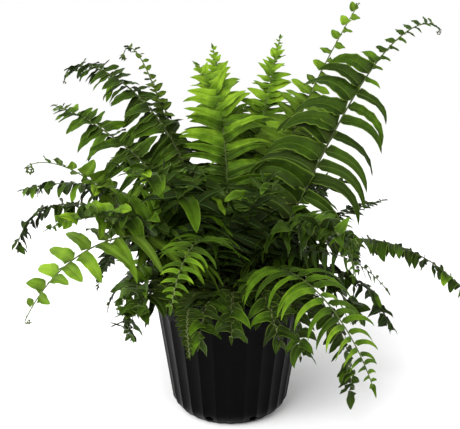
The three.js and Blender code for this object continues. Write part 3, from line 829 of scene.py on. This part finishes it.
# Adds a spiral to the end of a frond's line: an unopened tip that coils down over its last stretch
def coiled(path, radius, turns):
    middles, alongs, sides, tops = [list(part) for part in path]
    steps = int(turns * 14)
    for step in range(steps):
        share = step / steps
        angle = fullTurn * turns / steps
        along = rotated(alongs[-1], sides[-1], np.array(angle))
        top = rotated(tops[-1], sides[-1], np.array(angle))
        stride = radius * (1 - 0.72 * share) * angle
        middles.append(middles[-1] + along * stride + sides[-1] * 0.25 * mm)
        alongs.append(along)
        sides.append(sides[-1])
        tops.append(top)
    return [np.array(part) for part in (middles, alongs, sides, tops)]


def leafletShare(share, youth):
    s = frondShape
    lower = min(1, s["lowestLeaflet"] + share / s["widenOver"])
    taper = s["grownTaper"] + (s["youngTaper"] - s["grownTaper"]) * youth
    return lower * max(0, 1 - share ** taper) ** s["taperSoftness"]


def pathAt(path, share):
    place = keep(share, 0, 1) * frondShape["pathSteps"]
    i = min(int(place), frondShape["pathSteps"] - 1)
    rest = place - i
    return [part[i] * (1 - rest) + part[i + 1] * rest for part in path]


# Where a frond's leaflets stand: share along it, hand (+1 left, -1 right) and length in millimetres
def leafletPlan(frond, habit, rng):
    plan, share, hand, s = [], habit["start"], 1, frondShape
    widest = (s["spacingBase"] + s["spacingShare"] * frond["leaflet"]) * habit["spacing"]
    while share < habit["stop"] - 0.002:
        blade = (share - s["bareFoot"]) / (1 - s["bareFoot"])
        early = 1 if blade >= 0 else max(0.35, 1 + blade * 6)
        fullness = leafletShare(keep(blade, 0, 1), frond["youth"]) * early
        later, longer = (habit["leftLater"], habit["leftLong"]) if hand > 0 else (0, 1)
        past = share - habit["narrowsAt"] - later
        narrowed = 1 - s["narrowing"] * smooth(past / s["narrowOver"])
        length = frond["leaflet"] * habit["long"] * fullness * narrowed
        length = max(length, habit["least"] * (1.3 - 0.6 * share)) * longer
        spacing = habit["tipSpacing"] + (widest - habit["tipSpacing"]) * smooth(fullness * narrowed * 1.25)
        plan.append((share, hand, length * rng.uniform(0.9, 1.06)))
        hand = -hand
        share += spacing / 2 / frond["length"] * rng.uniform(0.9, 1.1)
    return plan


# The half width of a leaflet as a share of its widest, from its foot (0) to its tip (1)
def leafletOutline(u, blunt):
    neck = min(1, 0.12 + (u / 0.075) ** 1.2)
    lance = max(0, 1 - u ** 1.9) ** 0.95
    rounded = max(0, 1 - u ** 2.7) ** 0.6
    return neck * (lance * (1 - blunt) + rounded * blunt)


# All leaflets of one frond at once, each a closed thin lens: upper face slot 0, under face slot 1
def addLeaflets(shape, roots, outward, facing, hands, lengths, widths, sags, blunt, tones,
                tousle, curve, rng):
    s, count = frondShape, len(roots)
    rowPlaces, cells = s["rowPlaces"], s["widthCells"]
    rows = len(rowPlaces) - 1
    down = np.array([0.0, 0.0, -1.0])
    centre, heading, face = roots.copy(), outward.copy(), facing.copy()
    tilts = np.radians(s["tilt"] + rng.normal(0, tousle, count)) * hands
    face = rotated(face, heading, tilts)
    twists = np.radians(rng.normal(0, 8 + tousle * 1.3, count))
    curves = -hands * np.radians(curve + rng.normal(0, 4 + tousle * 0.4, count))
    buckles = np.radians(rng.normal(0, 2 + tousle * 0.5, count))
    phases = rng.uniform(0, fullTurn, count)
    waves = np.maximum(1.5, lengths / mm / rng.uniform(*s["waveLengths"], count))
    folds = s["fold"] * rng.uniform(0.6, 1.3, count)
    across = np.linspace(-1, 1, cells + 1)
    edge = np.abs(across)[None, :]
    upper, under, places = [], [], []
    for row, u in enumerate(rowPlaces):
        if row:
            before = rowPlaces[row - 1]
            part = u - before
            hang = np.linalg.norm(np.cross(heading, down), axis=-1)
            axis = unit(np.cross(heading, down))
            sag = sags * (u ** 1.35 - before ** 1.35) * hang
            heading, face = rotated(heading, axis, sag), rotated(face, axis, sag)
            heading = rotated(heading, face, curves * part * 2 * u)
            face = rotated(face, heading, twists * part)
            sideways = np.cross(face, heading)
            wave = buckles * math.cos(u * 7) * part * 4
            heading, face = rotated(heading, sideways, wave), rotated(face, sideways, wave)
            centre = centre + heading * (lengths * part)[:, None]
        sideways = np.cross(face, heading)
        half = widths / 2 * (leafletOutline(u, 0) * (1 - blunt) + leafletOutline(u, 1) * blunt)
        if 1 < row < rows - 1:
            half = half * (1 + s["edgeWander"] * (-1) ** row)
        half = np.maximum(half, s["leastHalfWidth"] * mm)
        # the lobe at the foot stands out on the side towards the frond's tip
        tipward = across[None, :] * -hands[:, None]
        lobe = math.exp(-(((u - s["lobePlace"]) / s["lobePlace"]) ** 2))
        stretch = 1 + np.where(tipward > 0, s["footLobe"], s["footHollow"]) * lobe
        spread = across[None, :] * half[:, None] * stretch
        height = (half * folds)[:, None] * edge * (1 - 0.62 * edge)
        ripple = np.sin(waves * u * fullTurn + phases)[:, None] * np.sign(across)[None, :]
        height = height + half[:, None] * s["ripple"] * ripple * edge ** 2 * min(1, u * 5)
        top = centre[:, None, :] + sideways[:, None, :] * spread[..., None]
        top = top + face[:, None, :] * height[..., None]
        thin = s["thickness"] * mm * (1 - edge ** 4) * min(1, 5 * u, 6 * (1 - u) + 0.05)
        upper.append(top)
        under.append(top - face[:, None, :] * thin[..., None])
        places.append(np.stack([np.broadcast_to((lengths * u / 0.1)[:, None], spread.shape),
                                np.broadcast_to((across + 1)[None, :] / 2, spread.shape)], -1))
    upper, under, places = np.stack(upper, 1), np.stack(under, 1), np.stack(places, 1)
    wide = cells + 1
    number = np.arange((rows + 1) * wide).reshape(rows + 1, wide)
    inner = number[1:rows, 1:cells]
    below = number.copy()
    below[1:rows, 1:cells] = (rows + 1) * wide + np.arange(inner.size).reshape(inner.shape)
    quads = []
    for grid, turned in ((number, False), (below, True)):
        a, b, c, d = grid[:-1, :-1], grid[1:, :-1], grid[1:, 1:], grid[:-1, 1:]
        quads.append(np.stack([a, d, c, b] if turned else [a, b, c, d], -1).reshape(-1, 4))
    each = (rows + 1) * wide + inner.size
    faces = np.concatenate(quads)[None] + (np.arange(count) * each)[:, None, None]
    slots = np.tile(np.repeat([0, 1], len(quads[0])), count)
    both = []
    for whole, within in ((upper, under), (places, places)):
        size = whole.shape[-1]
        within = within[:, 1:rows, 1:cells].reshape(count, -1, size)
        both.append(np.concatenate([whole.reshape(count, -1, size), within], 1))
    points, places = both
    shape.add(keptOffPot(points.reshape(-1, 3)), faces, slots, places, np.repeat(tones, each))


# Pushes points out of the pot's wall and up off the potting mix
def keptOffPot(points):
    clearance = frondShape["potClearance"]
    z = points[:, 2] / mm
    radius = np.maximum(np.hypot(points[:, 0], points[:, 1]) / mm, 1e-3)
    bandTop = pot["height"] - pot["lipHeight"]
    heights = [0, pot["bevelHeight"], pot["wallTop"], bandTop - 1, bandTop, pot["height"] + clearance]
    outsides = [pot["baseRadius"], pot["wallFootRadius"], pot["wallTopRadius"],
                pot["rimRadius"] - pot["lipOverhang"], pot["rimRadius"], pot["rimRadius"]]
    outside = np.interp(z, heights, outsides) + clearance
    inside = outside - frondShape["potGuard"]
    within = (z < pot["height"] + clearance) & (radius > inside) & (radius < outside)
    over = within & (z > pot["height"] - 3)
    out = within & ~over & (radius > (inside + outside) / 2)
    target = np.where(out, outside, np.where(within & ~over, inside, radius))
    moved = points.copy()
    moved[:, :2] *= (target / radius)[:, None]
    moved[:, 2] = np.where(over, (pot["height"] + clearance) * mm, moved[:, 2])
    inPot = (radius < inside) & (z < pot["height"])
    moved[:, 2] = np.where(inPot, np.maximum(moved[:, 2], (mix["top"] + 1) * mm), moved[:, 2])
    moved[:, 2] = np.maximum(moved[:, 2], 2 * mm)
    return moved


def buildFrond(name, row, number):
    frond = dict(zip(frondFields, row))
    habit, s = {**usualHabit, **habits[frond["habit"]]}, frondShape
    rng = np.random.default_rng(s["seed"] * 1000 + number)
    path = frondPath(frond)
    shape = Shape()
    line = path
    if habit["tip"] in coils:
        radius, turns, bud = coils[habit["tip"]]
        line = coiled(path, radius * mm, turns)
    middles, alongs, sides, tops = line
    share = np.minimum(1, np.arange(len(middles)) / s["pathSteps"])
    slender = keep(frond["length"] / s["usualLength"], 0.7, 1.1)
    radii = (s["stalkRadius"] + (s["tipRadius"] - s["stalkRadius"]) * share ** 0.8) * slender * mm
    if habit["tip"] in coils:
        curl = np.maximum(0, np.arange(len(middles)) - s["pathSteps"]) / (len(middles) - s["pathSteps"])
        radii = radii * (1 + 1.1 * np.sin(np.pi * np.minimum(1, curl * 1.1)) * (habit["tip"] == "ball"))
    if habit["tip"] == "bare":
        radii = radii * (1.25 + 0.5 * share)
    addTube(shape, keptOffPot(middles), sides, tops, radii, 2, frond["tone"] * 0.5 + 0.5 * share)
    plan = leafletPlan(frond, habit, rng) if frond["leaflet"] else []
    if plan:
        addBlade(shape, path, frond, habit, plan, rng)
    if habit["tip"] in coils:
        addBuds(shape, line, s["pathSteps"] - 3, bud, frond["tone"], rng)
    if habit["tip"] == "bare":
        addBuds(shape, line, s["pathSteps"] // 2, 4, frond["tone"], rng)
    young = slotOfNode[name] == "young_frond"
    piece = shape.build(name + "_fine", youngSkins if young else grownSkins, 50)
    standFor(piece, name)
    return len(piece.data.polygons)


def addBlade(shape, path, frond, habit, plan, rng):
    s, count = frondShape, len(plan)
    shares = np.array([p[0] for p in plan])
    hands = np.array([p[1] for p in plan], float)
    lengths = np.array([p[2] for p in plan]) * mm
    frames = [np.array(part) for part in zip(*[pathAt(path, share) for share in shares])]
    middles, alongs, sides, tops = frames[0], unit(frames[1]), unit(frames[2]), unit(frames[3])
    blade = np.clip((shares - s["bareFoot"]) / (1 - s["bareFoot"]), 0, 1)
    tousle = habit["tousle"]
    lean = np.radians(habit["leanAtFoot"] + (habit["leanAtTip"] - habit["leanAtFoot"]) * blade ** 2.2
                      + rng.normal(0, tousle * 0.7, count))
    lift = np.radians(np.clip(rng.normal(habit["lift"], tousle, count), -50, 60))
    outward = sides * (hands * np.cos(lean))[:, None] + alongs * np.sin(lean)[:, None]
    outward = unit(outward + tops * np.tan(lift)[:, None])
    facing = unit(tops - outward * np.sum(tops * outward, -1, keepdims=True))
    size = lengths / mm
    blunt = np.maximum(np.clip(1.0 - size / 30, 0, 0.75), habit["blunt"])
    ratio = np.clip(0.86 - size * 0.0085, 0.17, 0.72) * habit["broad"]
    usual = (s["spacingBase"] + s["spacingShare"] * size) * mm * habit["width"]
    widths = np.minimum(usual, lengths * ratio) * rng.uniform(0.92, 1.08, count)
    widths = np.where(hands > 0, widths * habit["leftWidth"], widths)
    sags = np.radians(np.minimum(85, 5 + habit["sag"] * size * rng.uniform(0.75, 1.25, count)))
    # painted shade: leaflets towards the frond's foot, deep in the plant, are made darker and those towards
    # the tip lighter; part of this is the real lighter colour of newer leaflets
    tones = frond["tone"] + rng.normal(0, 0.07 + tousle * 0.003, count) + habit["footShadeAndAge"] * (blade - 0.6)
    tones = np.clip(tones, 0, 1)
    roots = middles + tops * 0.4 * mm
    addLeaflets(shape, roots, outward, facing, hands, lengths, widths, sags, blunt, tones, tousle,
                habit["curve"], rng)
    if habit["tip"] == "leaflet":
        end, along, side, top = [part[-1:] for part in path]
        last = np.array([keep(frond["leaflet"] * 0.24, 7, 18)]) * mm
        addLeaflets(shape, end - along * 1.5 * mm, along, top, np.array([1.0]), last, last * 0.42,
                    np.radians([12.0]), np.array([0.25]), np.array([frond["tone"]]), 3, 0, rng)


# Unopened leaflets pressed along a coiled tip
def addBuds(shape, line, first, size, tone, rng):
    middles, alongs, sides, tops = [part[first::2] for part in line]
    count = len(middles)
    hands = np.where(np.arange(count) % 2 == 0, 1.0, -1.0)
    outward = unit(sides * hands[:, None] * 0.8 + alongs * 0.5 + tops * 0.35)
    facing = unit(tops - outward * np.sum(tops * outward, -1, keepdims=True))
    lengths = size * mm * rng.uniform(0.8, 1.15, count)
    addLeaflets(shape, middles, outward, facing, hands, lengths, lengths * 0.62, np.zeros(count),
                np.full(count, 0.7), np.full(count, tone), 10, 16, rng)


# Places on a leaflet: X is decimetres from its foot, Y runs across it, and edge goes from 0 at the midrib
# to 1 at the rim
def leafAxes(tree):
    grain = addNode(tree, "UVMap", {"uv_map": "grain"})
    axes = addNode(tree, "SeparateXYZ", links={0: (grain, 0)})
    off = worked(tree, "MULTIPLY_ADD", (axes, "Y"), 2.0, -1.0)
    edge = worked(tree, "ABSOLUTE", (off, 0))
    return axes, edge


# A leaflet lets a little light through
def endLeaf(material, skin, glow):
    tree = material.node_tree
    through = addNode(tree, "BsdfTranslucent", links={"Color": (glow, 2)})
    return endMaterial(material, addNode(tree, "MixShader", {0: 0.14}, {1: (skin, 0), 2: (through, 0)}))


# Living fern leaflet, upper face: a satin cuticle over soft green, a paler sunken midrib, side veins
# about 1.6 mm apart and a little light glowing through. New leaflets are yellow-green in the middle,
# darker at the edge.
def leafUpper(name, centreGlow):
    material, tree = newMaterial(name)
    axes, edge = leafAxes(tree)
    tone = toneOf(tree)
    patches = patterned(tree, "TexNoise", {"Scale": 60, "Detail": 5})
    shift = worked(tree, "MULTIPLY_ADD", (patches, 0), 0.6, -0.3)
    rib = mapped(tree, (edge, 0), 0.03, 0.11, 1, 0)
    slant = worked(tree, "MULTIPLY_ADD", (edge, 0), -0.05, (axes, "X"))
    ripple = worked(tree, "MULTIPLY", (slant, 0), 390.0)
    veins = worked(tree, "SINE", (ripple, 0))
    # painted shade: darker over the 20 mm next to the stalk, where the leaflets overlap and shade each other,
    # and a little lighter beyond; real streaks of colour along the side veins
    paintedFootShade = mapped(tree, (axes, "X"), 0, 0.2, -0.24, 0.08)
    veinsAndFootShade = worked(tree, "MULTIPLY_ADD", (veins, 0), 0.03, (paintedFootShade, 0))
    shifted = worked(tree, "ADD", (veinsAndFootShade, 0), (shift, 0))
    toned = worked(tree, "ADD", (tone, "Fac"), (shifted, 0))
    colour = coloured(tree, (toned, 0),
                      (0.0, "#070f03"), (0.25, "#122205"), (0.5, "#243b07"), (0.75, "#48680e"),
                      (1.0, "#7a9c22"))
    ribMix = worked(tree, "MULTIPLY", (rib, 0), 0.22)
    ribbed = tinted(tree, (ribMix, 0), (colour, 0), "#6d8d3c")
    # painted highlight: a paler yellow-green rim near each leaflet's edge, standing in for light catching the
    # thin edge
    rim = mapped(tree, (edge, 0), 0.8, 1, 0, 0.38)
    rimHighlighted = tinted(tree, (rim, 0), (ribbed, 2), "#88a63c")
    # the pale joint where a leaflet meets its stalk, under 2 mm long
    joint = mapped(tree, (axes, "X"), 0.004, 0.02, 0.4, 0)
    jointed = tinted(tree, (joint, 0), (rimHighlighted, 2), "#a9b476")
    glow = mapped(tree, (edge, 0), 0.25, 1, centreGlow, 0)
    glowing = tinted(tree, (glow, 0), (jointed, 2), "#7d9c30")
    veinBump = bumped(tree, (veins, 0), 0.4, 0.0005)
    ribBump = addNode(tree, "Bump", {"Strength": 0.5, "Distance": 0.0006, "invert": True},
                      {"Height": (rib, 0), "Normal": (veinBump, 0)})
    gloss = mapped(tree, (patches, 0), 0.3, 0.7, 0.28, 0.44)
    skin = addNode(tree, "BsdfPrincipled",
                   {"IOR": 1.43, "Specular IOR Level": 0.24, "Specular Tint": "#bcd384"},
                   {"Base Color": (glowing, 2), "Roughness": (gloss, 0), "Normal": (ribBump, 0)})
    warm = addNode(tree, "Mix", {"data_type": "RGBA", 0: 0.55, 7: "#8fb02c"},
                   {6: (glowing, 2)})
    return endLeaf(material, skin, warm)


# Under face: matt and greyer, with a raised midrib and, on grown fronds, rust spore dots about 3 mm apart
def leafUnder(name, dots):
    material, tree = newMaterial(name)
    axes, edge = leafAxes(tree)
    tone = toneOf(tree)
    colour = coloured(tree, (tone, "Fac"), (0.0, "#0f1a08"), (0.5, "#263b10"), (1.0, "#506c22"))
    rib = mapped(tree, (edge, 0), 0.03, 0.1, 0.35, 0)
    ribbed = tinted(tree, (rib, 0), (colour, 0), "#7a9350")
    # one dot every 3 mm along and one row six tenths of the way to each edge
    beat = worked(tree, "MULTIPLY", (axes, "X"), 33.3)
    step = worked(tree, "PINGPONG", (beat, 0), 0.5)
    row = worked(tree, "SUBTRACT", (edge, 0), 0.62)
    rowSquare = worked(tree, "MULTIPLY", (row, 0), (row, 0))
    rowPart = worked(tree, "MULTIPLY", (rowSquare, 0), 6.0)
    stepSquare = worked(tree, "MULTIPLY", (step, 0), (step, 0))
    away = worked(tree, "ADD", (rowPart, 0), (stepSquare, 0))
    spot = mapped(tree, (away, 0), 0.035, 0.06, dots, 0)
    spotted = tinted(tree, (spot, 0), (ribbed, 2), "#4a3018")
    bump = bumped(tree, (rib, 0), 0.5, 0.0005)
    skin = addNode(tree, "BsdfPrincipled", {"Roughness": 0.62, "Specular IOR Level": 0.1},
                   {"Base Color": (spotted, 2), "Normal": (bump, 0)})
    return endLeaf(material, skin, spotted)


# Frond stalk: satin, green towards its tip, brown towards its foot, with fine flecks about 3 mm apart
def stalkSkin(name, footColour, tipColour):
    material, tree = newMaterial(name)
    tone = toneOf(tree)
    flecks = patterned(tree, "TexNoise", {"Scale": 300, "Detail": 3})
    shift = worked(tree, "MULTIPLY_ADD", (flecks, 0), 0.5, -0.25)
    toned = worked(tree, "ADD", (tone, "Fac"), (shift, 0))
    colour = coloured(tree, (toned, 0), (0.05, footColour), (0.55, tipColour), (1.0, "#465820"))
    bump = bumped(tree, (flecks, 0), 0.3, 0.0003)
    return endPlain(material, {"Roughness": 0.45, "Specular IOR Level": 0.15}, colour, bump)


grownSkins = [leafUpper("grown fern leaflet", 0.05), leafUnder("grown leaflet underside", 0.85),
              stalkSkin("grown frond stalk", "#20170e", "#343f1a")]
youngSkins = [leafUpper("young fern leaflet", 0.35), leafUnder("young leaflet underside", 0.0),
              stalkSkin("young frond stalk", "#2a2412", "#3f4d1e")]

named = [(f"{group}_{index + 1}", row) for group, rows in fronds.items() for index, row in enumerate(rows)]
faceCount = sum(buildFrond(name, row, number) for number, (name, row) in enumerate(named))
print("fronds done", len(named), faceCount)

# Pale floor and soft studio light
studio = {
    "floorSize": 12.0,
    "floorHeight": -0.0005,
    "worldStrength": 1.0,
    "keyPower": 150.0,
    "keyPlace": (-1.5, -1.9, 2.5),
    "keyAim": (0, 0, 0.35),
    "keySize": 2.6,
    "cameraPlace": (0, -1.04, 0.53),
    "cameraPitch": 11.37,
    "lens": 51.96,
}


def buildFloor():
    mesh = bpy.data.meshes.new("studio_floor")
    half = studio["floorSize"] / 2
    corners = [(x * half, y * half, studio["floorHeight"]) for x, y in ((-1, -1), (1, -1), (1, 1), (-1, 1))]
    mesh.from_pydata(corners, [], [(0, 1, 2, 3)])
    floor = bpy.data.objects.new("studio_floor", mesh)
    bpy.context.scene.collection.objects.link(floor)
    material, tree = newMaterial("matt white paper")
    shader = addNode(tree, "BsdfPrincipled",
                     {"Base Color": "#ffffff", "Roughness": 0.9, "Specular IOR Level": 0.1})
    mesh.materials.append(endMaterial(material, shader))


def buildLight():
    world = bpy.data.worlds.new("studio")
    bpy.context.scene.world = world
    world.use_nodes = True
    world.node_tree.nodes.clear()
    sky = addNode(world.node_tree, "Background",
                  {"Color": (1, 1, 1, 1), "Strength": studio["worldStrength"]})
    addNode(world.node_tree, "OutputWorld", links={"Surface": (sky, 0)})
    lamp = bpy.data.lights.new("key", "AREA")
    lamp.energy, lamp.size = studio["keyPower"], studio["keySize"]
    key = bpy.data.objects.new("key", lamp)
    bpy.context.scene.collection.objects.link(key)
    key.location = studio["keyPlace"]
    key.rotation_euler = (Vector(studio["keyAim"]) - key.location).to_track_quat("-Z", "Y").to_euler()


def buildCamera():
    lens = bpy.data.cameras.new("camera")
    lens.lens, lens.sensor_width = studio["lens"], 36
    camera = bpy.data.objects.new("camera", lens)
    bpy.context.scene.collection.objects.link(camera)
    camera.location = studio["cameraPlace"]
    camera.rotation_euler = (math.radians(90 - studio["cameraPitch"]), 0, 0)
    bpy.context.scene.camera = camera
    bpy.context.scene.view_settings.view_transform = "Standard"


buildFloor()
buildLight()
buildCamera()
print("studio done")
